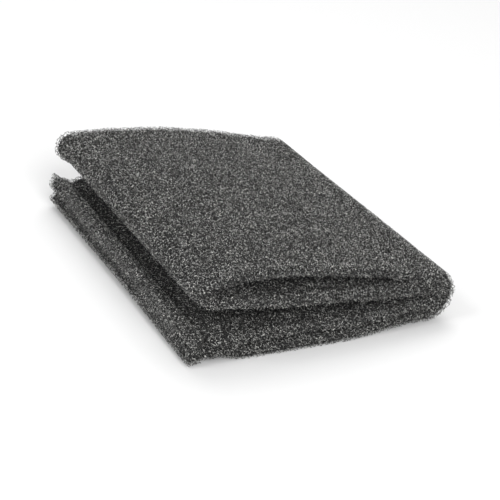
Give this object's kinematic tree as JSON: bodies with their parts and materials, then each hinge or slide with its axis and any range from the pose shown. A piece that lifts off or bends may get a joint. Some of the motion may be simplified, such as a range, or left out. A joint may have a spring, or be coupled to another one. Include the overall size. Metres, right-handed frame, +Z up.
{
  "type": "foam air filter sleeve",
  "caption": "Open-cell foam air filter sleeve with a welded fin seam, folded once in half so that it shows four soft layers.",
  "frame": {"origin": "middle of the bounding box, on the surface that the folded sleeve lies on", "axes": "+X from the seam flange to the half fold, +Y along the sleeve's own axis, +Z up through the folded stack"},
  "size_m": [0.12, 0.14, 0.0365],
  "materials": {
    "foam": "matte",
    "weld": "satin"
  },
  "bodies": {
    "lower_half": {"lower_outer_panel": "foam", "lower_inner_panel": "foam", "weld_seam": "weld", "outer_half_fold": "foam", "inner_half_fold": "foam"},
    "seam_flange": {"flange_upper_strip": "foam", "flange_lower_strip": "foam"},
    "upper_half": {"upper_outer_panel": "foam", "upper_inner_panel": "foam", "edge_fold": "foam"}
  },
  "joints": [
    {"name": "half_fold", "type": "hinge", "parent": "lower_half", "child": "upper_half", "pos_m": [0.056, 0, 0.0135], "axis": [0, 1, 0], "range_deg": [0, 172], "deforming": ["outer_half_fold", "inner_half_fold"]},
    {"name": "flange_flex", "type": "hinge", "parent": "lower_half", "child": "seam_flange", "pos_m": [-0.051, 0, 0.0066], "axis": [0, 1, 0], "range_deg": [-12, 30], "stiffness_Nm_per_rad": 0.003}
  ]
}
